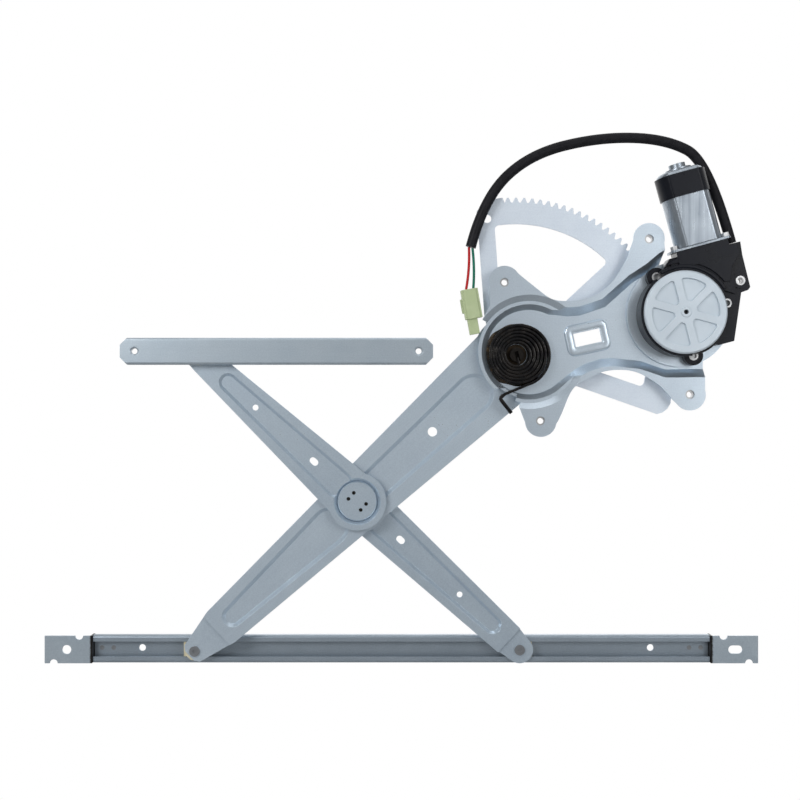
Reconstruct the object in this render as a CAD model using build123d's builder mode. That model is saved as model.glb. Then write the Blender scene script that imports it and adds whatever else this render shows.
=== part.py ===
from build123d import *
import os
from math import acos, atan2, cos, degrees, hypot, pi, radians, sin, tan

# Powered window regulator of the crossed arm kind, as it hangs in a car door.
# X runs along the door, Z is up and Y points from the cabin to the glass.
# The origin is on the lift arm's pivot axis, in the plane of the door's inner panel,
# against which the ears of the base plate are bolted.
# A level is a distance from that plane: above zero towards the cabin, below towards the glass.

# Linkage
lift_angle = 42.7          # how far the lift arm hangs below the level line
pivot_to_centre = 183.0    # lift pivot to the centre joint, and centre joint to the upper shoe
centre_to_shoe = 189.0     # centre joint to both lower shoes
running_clearance = 0.05   # radial play of a pin in its hole
slide_clearance = 0.3      # play of a shoe in its channel, and between passing faces

# Sheet thicknesses
arm_sheet = 2.5            # lift arm
half_arm_sheet = 2.0       # the two halves of the balance arm
plate_sheet = 2.0          # base plate
sector_sheet = 3.0
rail_sheet = 1.6
bracket_sheet = 1.6

# Levels of the front faces
pan_front = -9.0           # floor of the base plate's pan
ledge_front = -4.0         # ledge round the spring pocket
sector_front = -12.5
upper_half_front = -10.5
lower_half_front = -22.5
glass_rail_front = -28.0
upper_rail_front = 0.0

# Lift arm
arm_hub_half_width = 34.0
arm_tip_half_width = 17.5
arm_nose_half_width = 9.6
arm_nose_overhang = 6.0    # steel beyond the shoe's pin
arm_tail = 36.0            # radius of the hub end
arm_press = 3.0            # depth of the pressed channel
arm_channel_start = 17.0   # half width of that channel at the hub
arm_channel_end = 9.0
arm_channel_stop = 328.0   # where its round end is centred
arm_pocket_radius = 21.5   # round pocket about the centre joint
arm_hole_radius = 5.0
arm_hole_at = 96.0

# Balance arm, made of two halves
half_ring_radius = 24.6
half_root_half_width = 22.5
half_tip_half_width = 12.0
half_press = 2.5
half_channel_start = 12.0
half_channel_end = 7.5
dish_radius = 19.0
dish_front = -15.5
disc_radius = 16.6
disc_thickness = 2.5
centre_bush_radius = 12.0
tip_joggle = 2.0
tip_radius = 11.5

# Channels
rail_width = 23.7
rail_height = 9.0
rail_slot = 12.9
glass_rail_left = -362.3
glass_rail_right = 168.3
rail_hole_radius = 2.9
upper_rail_left = -333.5
upper_rail_right = -70.4
upper_rail_width = 22.7
upper_rail_rise = 3.75     # its middle stands this far above the shoe's pin
upper_rail_chamfer = 6.0
upper_bolt_inset = 12.2
shoe_length = 22.0
pin_radius = 3.2
pin_head_radius = 4.4
pin_dimple_radius = 1.6     # hollow left by the riveting tool

# Gears
gear_module = 2.2
sector_teeth_full = 120    # teeth if the sector were a full wheel
pinion_teeth = 9
pressure_angle = 25.0
addendum_share = 0.8
dedendum_share = 1.05
backlash = 0.22
pinion_bearing = 14.1      # direction from the lift pivot to the pinion

# Base plate
ear_hole_radius = 3.8
hub_centre = (10.7, 2.5)
hub_edge_radius = 43.0
pan_draft = 38.0           # slope of the pan's walls

os.makedirs("parts", exist_ok=True)

# Places worked out from the linkage
down = radians(lift_angle)
centre_x = -pivot_to_centre * cos(down)
centre_z = -pivot_to_centre * sin(down)
left_shoe_x = centre_x - centre_to_shoe * cos(down)
shoe_z = centre_z - centre_to_shoe * sin(down)
right_shoe_x = centre_x + centre_to_shoe * cos(down)
upper_shoe_x = 2 * centre_x
arm_length = pivot_to_centre + centre_to_shoe

arm_front = sector_front - sector_sheet
glass_rail_back = glass_rail_front - rail_height
pan_back = pan_front - plate_sheet

sector_radius = gear_module * sector_teeth_full / 2
pinion_radius = gear_module * pinion_teeth / 2
gear_distance = sector_radius + pinion_radius
pinion_x = gear_distance * cos(radians(pinion_bearing))
pinion_z = gear_distance * sin(radians(pinion_bearing))


def front_plane(level, x=0.0, z=0.0, turn=0.0):
    """A plane parallel to the door panel, facing the cabin, with its x axis turned."""
    return Plane(
        origin=(x, -level, z),
        x_dir=(cos(radians(turn)), 0, sin(radians(turn))),
        z_dir=(0, -1, 0),
    )


def save(builder, name):
    builder.part.label = name
    export_step(builder.part, f"parts/{name}.step")


def involute_angle(radius, base):
    """Angle that an involute from the base circle has turned by at a radius."""
    slope = acos(min(1.0, base / radius))
    return tan(slope) - slope


def tooth_points(teeth):
    """Half angles of a tooth at its base, pitch and tip circles, with those radii."""
    pitch = gear_module * teeth / 2
    base = pitch * cos(radians(pressure_angle))
    tip = pitch + addendum_share * gear_module
    root = pitch - dedendum_share * gear_module
    start = max(base, root)
    half_pitch = (pi / 2 * gear_module - backlash) / 2 / pitch
    at_pitch = involute_angle(pitch, base)
    radii = [start, pitch, tip]
    halves = [half_pitch + at_pitch - involute_angle(r, base) for r in radii]
    return root, radii, halves


def polar(radius, angle, centre=(0.0, 0.0)):
    return (centre[0] + radius * cos(angle), centre[1] + radius * sin(angle))


def press(circles, front, back, spread, turn=0.0, at=(0.0, 0.0), mode=Mode.ADD):
    """A pressed hollow or boss round a hull of circles, wider by the spread at the front."""
    outlines = []
    for level, extra in ((back, 0.0), (front, spread)):
        with BuildSketch(front_plane(level, at[0], at[1], turn)) as outline:
            for x, z, radius in circles:
                with Locations((x, z)):
                    Circle(radius + extra)
            if len(circles) > 1:
                make_hull()
        outlines.append(outline.sketch)
    loft(outlines, mode=mode)


def slab(points, back, thickness, turn=0.0, at=(0.0, 0.0), mode=Mode.ADD):
    """A flat plate with straight edges."""
    with BuildSketch(front_plane(back, at[0], at[1], turn)) as outline:
        with BuildLine():
            Polyline(*points, close=True)
        make_face()
    extrude(outline.sketch, amount=thickness, mode=mode)


def disc(x, z, radius, back, thickness, turn=0.0, at=(0.0, 0.0), mode=Mode.ADD):
    """A round plate or boss facing the cabin, or a hole when it is subtracted."""
    with BuildSketch(front_plane(back, at[0], at[1], turn)) as outline:
        with Locations((x, z)):
            Circle(radius)
    extrude(outline.sketch, amount=thickness, mode=mode)


def ring(x, z, outer, inner, back, thickness):
    """A washer or sleeve facing the cabin."""
    with BuildSketch(front_plane(back)) as outline:
        with Locations((x, z)):
            Circle(outer)
            Circle(inner, mode=Mode.SUBTRACT)
    extrude(outline.sketch, amount=thickness)


def bar(x, z, length, width, back, thickness, turn=0.0, mode=Mode.ADD):
    """A block facing the cabin, lying along its own turned axis."""
    with BuildSketch(front_plane(back, x, z, turn)) as outline:
        Rectangle(length, width)
    extrude(outline.sketch, amount=thickness, mode=mode)


def long_hole(x, z, length, width, turn, at):
    """A hole with round ends through any sheet."""
    with BuildSketch(front_plane(-60.0, at[0], at[1], turn)) as outline:
        with Locations((x, z)):
            SlotOverall(length, width)
    extrude(outline.sketch, amount=80.0, mode=Mode.SUBTRACT)


def channel(left, right, front, middle, height, width, slot, slot_faces_cabin):
    """A folded channel along the door, with a slot between its lips."""
    lips = front if slot_faces_cabin else front - height
    section = Plane(origin=(left, height / 2 - front, middle), x_dir=(0, 1, 0), z_dir=(1, 0, 0))
    with BuildSketch(section) as outline:
        RectangleRounded(height, width, 2.2)
        RectangleRounded(height - 2 * rail_sheet, width - 2 * rail_sheet, 0.7, mode=Mode.SUBTRACT)
        with Locations((-lips - (height / 2 - front), 0)):
            Rectangle(4 * rail_sheet, slot, mode=Mode.SUBTRACT)
    extrude(outline.sketch, amount=right - left)


# Sector gear: blanked from thick sheet, with three spokes, two windows and a toothed rim.
sector_rim_inner = 111.5
sector_left_bar = (10.0, 24.1)     # sides of the left bar, measured left of the pivot axis
sector_left_lean = 94.1
sector_spoke_bearing = 42.8
sector_spoke = (4.8, -12.5)
sector_wing_bearing = -19.0
sector_wing = (9.6, -7.8)
sector_hub_radius = 40.0
sector_window_corner = 4.0
sector_first_tooth = 92.9          # bearing of the tooth nearest the left bar
sector_last_bearing = -4.0
sector_corner_hole = (-24.2, 115.9)
sector_corner_hole_radius = 3.6
sector_tail_radius = 137.0
tooth_pitch = 360.0 / sector_teeth_full
sector_back = sector_front - sector_sheet


def lean_line(bearing, offset, reach):
    """Point at a reach along a line from the pivot, moved sideways by the offset."""
    along = radians(bearing)
    return (
        reach * cos(along) - offset * sin(along),
        reach * sin(along) + offset * cos(along),
    )


root_radius, tooth_radii, tooth_halves = tooth_points(sector_teeth_full)
first = sector_first_tooth
tooth_count = int((first - sector_last_bearing) / tooth_pitch) + 1
rim_points = [lean_line(sector_left_lean, sector_left_bar[1], 36.0)]
rim_points.append(lean_line(sector_left_lean, sector_left_bar[1], 112.0))
rim_points.append((-33.0, 122.5))
rim_points.append((-21.7, 131.8))
rim_points.append(polar(134.1, radians(first + 3.0)))
rim_points.append(polar(134.1, radians(first + 1.9)))
for tooth in range(tooth_count):
    bearing = radians(first - tooth * tooth_pitch)
    half_gap = radians(tooth_pitch / 2) * 0.42
    rim_points.append(polar(root_radius, bearing + radians(tooth_pitch / 2) - half_gap * 0.4))
    for radius, half in zip(tooth_radii, tooth_halves):
        rim_points.append(polar(radius, bearing + half))
    for radius, half in zip(reversed(tooth_radii), reversed(tooth_halves)):
        rim_points.append(polar(radius, bearing - half))
    rim_points.append(polar(root_radius, bearing - radians(tooth_pitch / 2) + half_gap * 0.4))
last = sector_first_tooth - tooth_count * tooth_pitch
for step in range(5):
    reach = sector_tail_radius
    rim_points.append(polar(reach, radians(last + (-16.5 - last) * step / 4)))
rim_points += [(131.6, -40.5), (129.0, -45.0), (125.0, -48.4), (120.0, -49.9)]
rim_points.append(lean_line(sector_wing_bearing, sector_wing[1], 30.0))
rim_points.append((12.0, -24.0))
rim_points.append((-14.0, -24.0))

with BuildSketch(front_plane(sector_back)) as upper_window:
    Circle(sector_rim_inner)
    with BuildLine():
        Polyline(
            lean_line(sector_left_lean, sector_left_bar[0], 12.0),
            lean_line(sector_left_lean, sector_left_bar[0], 150.0),
            lean_line(sector_spoke_bearing, sector_spoke[0], 190.0),
            lean_line(sector_spoke_bearing, sector_spoke[0], 12.0),
            close=True,
        )
    make_face(mode=Mode.INTERSECT)
    Circle(sector_hub_radius, mode=Mode.SUBTRACT)
    fillet(upper_window.vertices(), sector_window_corner)

with BuildSketch(front_plane(sector_back)) as lower_window:
    Circle(sector_rim_inner)
    with BuildLine():
        Polyline(
            lean_line(sector_spoke_bearing, sector_spoke[1], 20.0),
            lean_line(sector_spoke_bearing, sector_spoke[1], 170.0),
            (180.0, 10.0),
            lean_line(sector_wing_bearing, sector_wing[0], 170.0),
            lean_line(sector_wing_bearing, sector_wing[0], 20.0),
            close=True,
        )
    make_face(mode=Mode.INTERSECT)
    Circle(sector_hub_radius, mode=Mode.SUBTRACT)
    fillet(lower_window.vertices(), sector_window_corner)

shaft_radius = 6.0
rivet_radius = 2.6
hub_rivets = [(0.0, 21.5), (18.5, -10.8), (-18.5, -10.8), (14.0, 15.5)]

with BuildPart() as sector_gear:
    with BuildSketch(front_plane(sector_back)):
        with BuildLine():
            Polyline(*rim_points, close=True)
        make_face()
        add(upper_window.sketch, mode=Mode.SUBTRACT)
        add(lower_window.sketch, mode=Mode.SUBTRACT)
        with Locations(sector_corner_hole):
            Circle(sector_corner_hole_radius, mode=Mode.SUBTRACT)
        Circle(shaft_radius, mode=Mode.SUBTRACT)
        with Locations(*hub_rivets):
            Circle(rivet_radius, mode=Mode.SUBTRACT)
    extrude(amount=sector_sheet)
save(sector_gear, "sector_gear")
print("sector", sector_gear.part.volume, len(sector_gear.part.solids()))

# Lift arm: pressed from sheet, with turned edges and a long pressed channel.
arm_turn = 180 + lift_angle
arm_back = arm_front - arm_sheet
arm_edge_depth = 6.0
arm_channel_back = arm_back - arm_press
arm_start = 6.0
arm_edge_end = 341.0
arm_nose_start = 346.0
arm_collar_radius = 27.0

nose_corner = arm_length + arm_nose_overhang - 3.0
nose_slope = (arm_tip_half_width - arm_nose_half_width) / (nose_corner - arm_edge_end)
nose_half_width = arm_tip_half_width - nose_slope * (arm_nose_start - arm_edge_end)
arm_edge_line = [
    (arm_start, arm_hub_half_width),
    (arm_edge_end, arm_tip_half_width),
    (arm_nose_start, nose_half_width),
]
nose_line = [
    (arm_nose_start - arm_sheet, nose_half_width + nose_slope * arm_sheet),
    (nose_corner, arm_nose_half_width),
    (arm_length + arm_nose_overhang, arm_nose_half_width - 4.0),
]
arm_outline = arm_edge_line + [(x, -y) for x, y in reversed(arm_edge_line)]
nose_outline = nose_line + [(x, -y) for x, y in reversed(nose_line)]
half_slope = (arm_hub_half_width - arm_tip_half_width) / (arm_edge_end - arm_start)

channel_ends = [
    (48.0, 0.0, arm_channel_start - 3.0),
    (pivot_to_centre, 0.0, arm_channel_start - 6.5),
]
lower_ends = [
    (pivot_to_centre + 32.0, 0.0, arm_channel_start - 3.5),
    (arm_channel_stop, 0.0, arm_channel_end - 3.0),
]
pocket = [(pivot_to_centre, 0.0, arm_pocket_radius - 3.0)]
wall = arm_sheet * 0.55


def widened(circles, extra):
    return [(x, z, radius + extra) for x, z, radius in circles]


with BuildPart() as lift_arm:
    slab(arm_outline, arm_back, arm_sheet, arm_turn)
    slab(nose_outline, arm_channel_back, arm_sheet, arm_turn)
    step_width = 2 * nose_half_width
    step_at = (arm_nose_start - arm_sheet / 2) * cos(radians(arm_turn))
    step_height = (arm_nose_start - arm_sheet / 2) * sin(radians(arm_turn))
    step = arm_front - arm_channel_back
    bar(step_at, step_height, arm_sheet, step_width, arm_channel_back, step, arm_turn)
    disc(0, 0, arm_tail, arm_back, arm_sheet)
    disc(pivot_to_centre, 0, arm_collar_radius, arm_back, arm_sheet, arm_turn)
    for side in (1, -1):
        edge = arm_hub_half_width - 54.0 * half_slope
        points = [
            (60.0, side * edge),
            (arm_edge_end, side * arm_tip_half_width),
            (arm_edge_end, side * (arm_tip_half_width - arm_sheet)),
            (60.0, side * (edge - arm_sheet)),
        ]
        slab(points, arm_front - arm_edge_depth, arm_edge_depth, arm_turn)
    for hollow in (channel_ends, lower_ends, pocket):
        press(widened(hollow, wall), arm_back + 0.5, arm_channel_back, 2.6, arm_turn)
    for hollow in (channel_ends, lower_ends, pocket):
        front = arm_front + 0.01
        back = arm_front - arm_press
        press(hollow, front, back, 3.0, arm_turn, mode=Mode.SUBTRACT)
    disc(0, 0, shaft_radius, arm_back - 1, 9, mode=Mode.SUBTRACT)
    for x, z in hub_rivets:
        disc(x, z, rivet_radius, arm_back - 1, 9, mode=Mode.SUBTRACT)
    hole = centre_bush_radius + running_clearance
    disc(pivot_to_centre, 0, hole, -30, 20, arm_turn, mode=Mode.SUBTRACT)
    disc(arm_hole_at, 0, arm_hole_radius - 1, -30, 20, arm_turn, mode=Mode.SUBTRACT)
    disc(arm_length, 0, pin_radius, -30, 20, arm_turn, mode=Mode.SUBTRACT)
save(lift_arm, "lift_arm")
print("arm", lift_arm.part.volume, len(lift_arm.part.solids()))

# Balance arm, upper half: lies in front of the lift arm and reaches up to the upper rail.
centre = (centre_x, centre_z)
upper_turn = 180 - lift_angle
upper_back = upper_half_front - half_arm_sheet
dish_inner = disc_radius + 0.3
dish_spread = 3.0
half_wall = 1.1
stake_radius = 1.6
stake_circle = 7.8
stake_bearings = (112.0, 164.0, -68.0, -16.0)
stakes = [polar(stake_circle, radians(b), centre) for b in stake_bearings]
half_edge = [
    (0.0, half_ring_radius - 2.0),
    (pivot_to_centre - 6.0, half_tip_half_width),
    (pivot_to_centre + 2.0, half_tip_half_width - 1.0),
]
half_outline = half_edge + [(x, -y) for x, y in reversed(half_edge)]
half_channel = [(22.0, 0.0, half_channel_start), (pivot_to_centre - 34.0, 0.0, half_channel_end)]

with BuildPart() as upper_half:
    slab(half_outline, upper_back, half_arm_sheet, upper_turn, centre)
    disc(0, 0, half_ring_radius, upper_back, half_arm_sheet, 0, centre)
    disc(pivot_to_centre, 0, tip_radius, upper_back, half_arm_sheet, upper_turn, centre)
    front = upper_back + 0.5
    back = upper_back - half_press
    press(widened(half_channel, half_wall - 2.0), front, back, 2.4, upper_turn, centre)
    back = dish_front - half_arm_sheet
    press([(0, 0, dish_inner + half_wall)], front, back, dish_spread, 0, centre)
    front = upper_half_front + 0.01
    back = upper_half_front - half_press
    cut = Mode.SUBTRACT
    press(widened(half_channel, -2.0), front, back, 2.4, upper_turn, centre, cut)
    press([(0, 0, dish_inner)], front, dish_front, dish_spread, 0, centre, cut)
    long_hole(50.0, 0, 8.0, 5.5, upper_turn, centre)
    disc(117.5, 0, 2.5, -30, 30, upper_turn, centre, cut)
    disc(pivot_to_centre, 0, pin_radius, -30, 30, upper_turn, centre, cut)
    for x, z in stakes:
        disc(x, z, stake_radius, -30, 30, mode=cut)
save(upper_half, "balance_arm_upper")
print("upper half", upper_half.part.volume, len(upper_half.part.solids()))

# Balance arm, lower half: lies behind the lift arm and carries the right shoe.
lower_turn = -lift_angle
lower_back = lower_half_front - half_arm_sheet
joggle_at = centre_to_shoe - 12.5
lower_edge = [(0.0, 20.5), (joggle_at, 14.0)]
lower_outline = lower_edge + [(x, -y) for x, y in reversed(lower_edge)]
lower_channel = [(24.0, 0.0, half_channel_start), (centre_to_shoe - 32.0, 0.0, half_channel_end)]
tip_outline = [
    (joggle_at - 2.5, 13.8),
    (centre_to_shoe, tip_radius),
    (centre_to_shoe, -tip_radius),
    (joggle_at - 2.5, -13.8),
]

with BuildPart() as lower_half:
    slab(lower_outline, lower_back, half_arm_sheet, lower_turn, centre)
    disc(0, 0, 21.0, lower_back, half_arm_sheet, 0, centre)
    slab(tip_outline, lower_back - tip_joggle, half_arm_sheet, lower_turn, centre)
    disc(centre_to_shoe, 0, tip_radius, lower_back - tip_joggle, half_arm_sheet, lower_turn, centre)
    front = lower_back + 0.5
    back = lower_back - half_press
    press(widened(lower_channel, half_wall - 2.0), front, back, 2.4, lower_turn, centre)
    front = lower_half_front + 0.01
    back = lower_half_front - half_press
    press(widened(lower_channel, -2.0), front, back, 2.4, lower_turn, centre, cut)
    long_hole(50.0, 0, 8.0, 5.5, lower_turn, centre)
    disc(119.0, 0, 2.5, -40, 40, lower_turn, centre, cut)
    disc(centre_to_shoe, 0, pin_radius, -40, 40, lower_turn, centre, cut)
    for x, z in stakes:
        disc(x, z, stake_radius, -40, 40, mode=cut)
save(lower_half, "balance_arm_lower")
print("lower half", lower_half.part.volume, len(lower_half.part.solids()))

# Centre joint: a bush through the lift arm, riveted between the two halves.
bush_front = dish_front - half_arm_sheet
arm_floor_back = arm_back - arm_press
with BuildPart() as centre_bush:
    disc(0, 0, centre_bush_radius, lower_half_front, bush_front - lower_half_front, 0, centre)
    for x, z in stakes:
        disc(x, z, stake_radius, -40, 40, mode=cut)
save(centre_bush, "centre_bush")

with BuildPart() as centre_disc:
    disc(0, 0, disc_radius, dish_front, disc_thickness, 0, centre)
    chamfer(centre_disc.edges().filter_by(GeomType.CIRCLE).sort_by(Axis.Y)[0], 0.6)
    for x, z in stakes:
        disc(x, z, stake_radius, -40, 40, mode=cut)
save(centre_disc, "centre_disc")

with BuildPart() as centre_rivets:
    for x, z in stakes:
        back = lower_back - 0.8
        disc(x, z, stake_radius, back, dish_front + disc_thickness - 0.8 - back)
        disc(x, z, stake_radius + 1.2, back, 0.8)
save(centre_rivets, "centre_rivets")

washer_gap = 0.05
with BuildPart() as front_washer:
    back = arm_front - arm_press + washer_gap
    outer = arm_pocket_radius - 4.0
    ring(centre_x, centre_z, outer, centre_bush_radius + 0.1, back, bush_front - back)
save(front_washer, "front_washer")

with BuildPart() as rear_washer:
    front = arm_floor_back - washer_gap
    inner = centre_bush_radius + 0.1
    ring(centre_x, centre_z, 18.0, inner, lower_half_front, front - lower_half_front)
save(rear_washer, "rear_washer")

# Rails, their shoes and the pins on which the shoes turn.
glass_rail_width = rail_width
rail_rivet_radius = 2.0
rivet_insets = (6.3, 16.3)
rail_rivet_places = [glass_rail_left + inset for inset in rivet_insets]
rail_rivet_places += [glass_rail_right - inset for inset in rivet_insets]
with BuildPart() as glass_rail:
    channel(
        glass_rail_left, glass_rail_right, glass_rail_front,
        shoe_z, rail_height, glass_rail_width, rail_slot, True,
    )
    for x in (glass_rail_left + 41.2, glass_rail_right - 49.9):
        disc(x, shoe_z, rail_hole_radius, -60, 80, mode=cut)
    for x in rail_rivet_places:
        disc(x, shoe_z, rail_rivet_radius, -60, 80, mode=cut)
save(glass_rail, "glass_rail")

# Brackets at the ends of the glass rail, where the glass holder is screwed on.
bracket_front = -26.0
bracket_half_width = rail_width / 2
bracket_reach = 40.8
tongue_length = 22.0
tongue_back = glass_rail_back - bracket_sheet
for side, end, name in ((-1, glass_rail_left, "left"), (1, glass_rail_right, "right")):
    middle = end + side * (bracket_reach / 2 + 0.3)
    riser = end + side * (0.3 + bracket_sheet / 2)
    with BuildPart() as bracket:
        width = 2 * bracket_half_width
        back = bracket_front - bracket_sheet
        bar(middle, shoe_z, bracket_reach, width, back, bracket_sheet)
        bar(riser, shoe_z, bracket_sheet, width, tongue_back, bracket_front - tongue_back)
        tongue = end - side * (tongue_length / 2 - 0.3 - bracket_sheet)
        bar(tongue, shoe_z, tongue_length, width - 2.0, tongue_back, bracket_sheet)
        for inset in rivet_insets:
            disc(end - side * inset, shoe_z, rail_rivet_radius, -60, 80, mode=cut)
        top = (end + side * 11.4, shoe_z + bracket_half_width)
        bottom = (end + side * 33.3, shoe_z - bracket_half_width)
        disc(top[0], top[1], 3.4, -60, 80, mode=cut)
        disc(bottom[0], bottom[1], 3.4, -60, 80, mode=cut)
        if side < 0:
            disc(end - 22.1, shoe_z, 3.85, -60, 80, mode=cut)
        else:
            long_hole(end + 21.5, shoe_z, 12.0, 7.0, 0, (0.0, 0.0))
    save(bracket, f"{name}_end_bracket")

with BuildPart() as rail_rivets:
    for x in rail_rivet_places:
        front = glass_rail_back + rail_sheet
        disc(x, shoe_z, rail_rivet_radius, tongue_back - 0.8, front - tongue_back + 0.8)
        disc(x, shoe_z, 3.4, tongue_back - 0.8, 0.8)
save(rail_rivets, "rail_rivets")

upper_rail_slot = 15.5
upper_rail_middle = upper_rail_rise - 0.75
upper_bolts = (upper_rail_left + upper_bolt_inset, upper_rail_right - upper_bolt_inset)
with BuildPart() as upper_rail:
    channel(
        upper_rail_left, upper_rail_right, upper_rail_front,
        upper_rail_middle, rail_height, upper_rail_width, upper_rail_slot, False,
    )
    size = upper_rail_chamfer * 2 ** 0.5
    for x in (upper_rail_left, upper_rail_right):
        for side in (1, -1):
            z = upper_rail_middle + side * upper_rail_width / 2
            bar(x, z, size, size, -60, 80, 45, cut)
    for x in upper_bolts:
        disc(x, upper_rail_middle, 2.5, -60, 80, mode=cut)
        press([(x, upper_rail_middle, 2.5)], 0.01, -1.0, 1.3, mode=cut)
save(upper_rail, "upper_rail")
print("upper rail", upper_rail.part.volume, len(upper_rail.part.solids()))

with BuildPart() as upper_rail_nuts:
    for x in upper_bolts:
        ring(x, upper_rail_middle, 5.5, 2.5, -rail_sheet - 4.0, 4.0)
save(upper_rail_nuts, "upper_rail_nuts")

shoe_depth = rail_height - 2 * rail_sheet - 2 * slide_clearance
shoe_hole = pin_radius + running_clearance
neck_step = 0.3
for name, x, arm_level in (
    ("left_shoe", left_shoe_x, arm_floor_back),
    ("right_shoe", right_shoe_x, lower_back - tip_joggle),
):
    with BuildPart() as shoe:
        front = glass_rail_front - rail_sheet - slide_clearance
        width = glass_rail_width - 2 * rail_sheet - 2 * slide_clearance
        bar(x, shoe_z, shoe_length, width, front - shoe_depth, shoe_depth)
        neck_top = glass_rail_front + neck_step
        bar(x, shoe_z, shoe_length - 4, rail_slot - 0.6, front - 1, neck_top - front + 1)
        disc(x, shoe_z, 8.5, neck_top, arm_level - 0.1 - neck_top)
        disc(x, shoe_z, shoe_hole, -60, 80, mode=cut)
        disc(x, shoe_z, pin_head_radius + 0.7, front - shoe_depth - 1, 2.6, mode=cut)
    save(shoe, name)

with BuildPart() as upper_shoe:
    front = upper_rail_front - rail_sheet - slide_clearance
    width = upper_rail_width - 2 * rail_sheet - 2 * slide_clearance
    back = front - shoe_depth
    bar(upper_shoe_x, upper_rail_middle, shoe_length, width, back, shoe_depth)
    neck_back = upper_rail_front - rail_height - neck_step
    neck_width = upper_rail_slot - 0.6
    bar(upper_shoe_x, upper_rail_middle, shoe_length - 4, neck_width, neck_back, back - neck_back + 1)
    collar_back = upper_half_front + 0.1
    disc(upper_shoe_x, 0, 8.5, collar_back, neck_back - collar_back)
    disc(upper_shoe_x, 0, shoe_hole, -60, 80, mode=cut)
    disc(upper_shoe_x, 0, pin_head_radius + 0.7, front - 1.6, 3, mode=cut)
save(upper_shoe, "upper_shoe")

shoe_back = glass_rail_front - rail_sheet - slide_clearance - shoe_depth
with BuildPart() as left_shoe_pin:
    front = arm_front - arm_press
    disc(left_shoe_x, shoe_z, pin_radius, shoe_back + 0.3, front - shoe_back - 0.3)
    disc(left_shoe_x, shoe_z, pin_head_radius, front, 1.6)
    disc(left_shoe_x, shoe_z, pin_dimple_radius, front + 0.6, 2, mode=cut)
    disc(left_shoe_x, shoe_z, pin_head_radius + 0.5, shoe_back + 0.3, 1.2)
save(left_shoe_pin, "left_shoe_pin")

with BuildPart() as right_shoe_pin:
    front = lower_half_front - tip_joggle
    disc(right_shoe_x, shoe_z, pin_radius, shoe_back + 0.3, front - shoe_back - 0.3)
    disc(right_shoe_x, shoe_z, pin_head_radius, front, 1.5)
    disc(right_shoe_x, shoe_z, pin_dimple_radius, front + 0.6, 2, mode=cut)
    disc(right_shoe_x, shoe_z, pin_head_radius + 0.5, shoe_back + 0.3, 1.2)
save(right_shoe_pin, "right_shoe_pin")

with BuildPart() as upper_shoe_pin:
    front = upper_rail_front - rail_sheet - slide_clearance - 0.3
    disc(upper_shoe_x, 0, pin_radius, upper_back, front - upper_back)
    disc(upper_shoe_x, 0, pin_head_radius + 0.5, front - 1.2, 1.2)
    disc(upper_shoe_x, 0, pin_head_radius, upper_back - 1.8, 1.8)
save(upper_shoe_pin, "upper_shoe_pin")

# Pivot of the lift arm: a slotted shaft that turns in a bush pressed into the pan.
shaft_front = 0.8
shaft_slot = 2.7
slot_bearing = 285.0       # direction in which the spring's inner end leaves the shaft
bush_outer = 9.0
with BuildPart() as pivot_shaft:
    disc(0, 0, shaft_radius, arm_back, shaft_front - arm_back)
    disc(0, 0, shaft_radius + 4.0, arm_floor_back + 0.2, arm_back - arm_floor_back - 0.2)
    slot_middle = polar(6.0, radians(slot_bearing))
    bar(slot_middle[0], slot_middle[1], 17.0, shaft_slot, pan_front + 1.0, 20, slot_bearing, cut)
    chamfer(pivot_shaft.edges().group_by(Axis.Y)[0], 0.4)
save(pivot_shaft, "pivot_shaft")

with BuildPart() as pivot_bush:
    inner = shaft_radius + running_clearance
    ring(0, 0, bush_outer, inner, pan_back - 0.9, plate_sheet + 1.4)
save(pivot_bush, "pivot_bush")

with BuildPart() as sector_rivets:
    for x, z in hub_rivets:
        disc(x, z, rivet_radius, arm_back - 1.6, sector_front - arm_back + 1.6)
        disc(x, z, rivet_radius + 1.9, arm_back - 1.6, 1.6)
save(sector_rivets, "sector_rivets")

# Base plate: one pressing with four ears, a round spring pocket and a pan for the motor.
ears = [(-10.4, 61.5), (110.9, 97.4), (145.3, -33.6), (20.0, -55.8)]
ear_holes = [(-10.4, 60.8), (111.1, 97.2), (145.3, -33.4), (19.8, -55.6)]
ear_radius = 13.2
hub = hub_centre
pinion_at = (pinion_x, pinion_z)
seat_radius = 44.5
foot_inset = 7.6           # from the edge of the motor's seat to its screws
foot_circle = seat_radius - foot_inset
foot_places = ((-74.3, 3.0), (12.3, 11.5), (124.8, 3.0))
feet = [(*polar(foot_circle, radians(b), pinion_at), front) for b, front in foot_places]
seat_front = -6.5
top_edge = [
    (-3.0, 72.0), (2.6, 67.0), (19.4, 53.5), (29.5, 46.8), (40.4, 45.1), (53.0, 46.0),
    (69.8, 52.3), (84.9, 67.8), (94.9, 88.0), (99.0, 101.0),
]
bottom_edge = [
    (140.0, -45.0), (133.6, -40.5), (120.1, -26.2), (111.7, -20.4), (103.3, -15.7),
    (82.4, -12.8), (67.2, -16.2), (59.7, -20.4), (50.4, -25.4), (40.4, -42.2), (33.0, -58.0),
]
with BuildSketch(front_plane(-plate_sheet)) as flange_shape:
    with BuildLine():
        Spline(*top_edge)
        Polyline(top_edge[-1], (123.5, 98.0), (124.2, 88.0), (121.0, 76.0), (158.0, 60.0), (158.0, -34.0))
        Line((158.0, -34.0), bottom_edge[0])
        Spline(*bottom_edge)
        Polyline(
            bottom_edge[-1], (20.0, -69.0), (6.5, -56.0), (2.0, -44.0),
            (12.0, -10.0), (12.0, 10.0), (-29.0, 29.5), (-22.6, 41.8), (-23.0, 56.0),
            top_edge[0],
        )
    make_face()
    with Locations(*ears):
        Circle(ear_radius)
    with Locations(pinion_at):
        Circle(seat_radius)

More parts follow.
